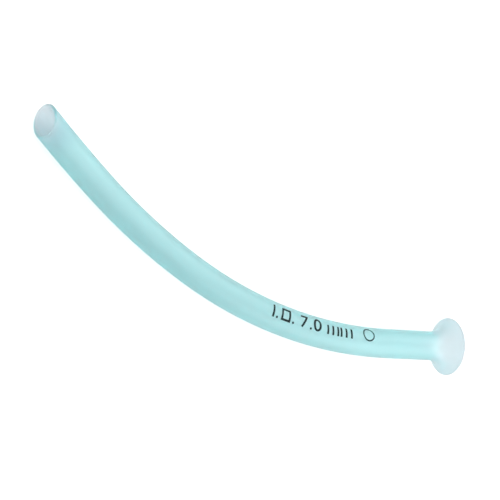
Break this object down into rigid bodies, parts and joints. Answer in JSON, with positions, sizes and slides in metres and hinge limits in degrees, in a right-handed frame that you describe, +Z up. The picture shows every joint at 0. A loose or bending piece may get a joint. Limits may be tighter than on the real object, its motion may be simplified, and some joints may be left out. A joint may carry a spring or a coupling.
{
  "type": "nasopharyngeal airway",
  "caption": "Soft curved clear tube with a trumpet-shaped flange at one end and a slanted, rounded tip at the other; keeps a way through the nose open for breathing.",
  "frame": {"origin": "on the table, below the middle of the piece's own box as it lies at rest", "axes": "+Z up from the table; +X towards the flange along the length; +Y towards the side that the tip bends to"},
  "size_m": [0.1492, 0.0732, 0.0185],
  "materials": {
    "soft_pvc": "translucent, pale blue-green, smooth with a soft satin sheen"
  },
  "bodies": {
    "root": {"airway_tube": "soft_pvc"}
  },
  "joints": []
}
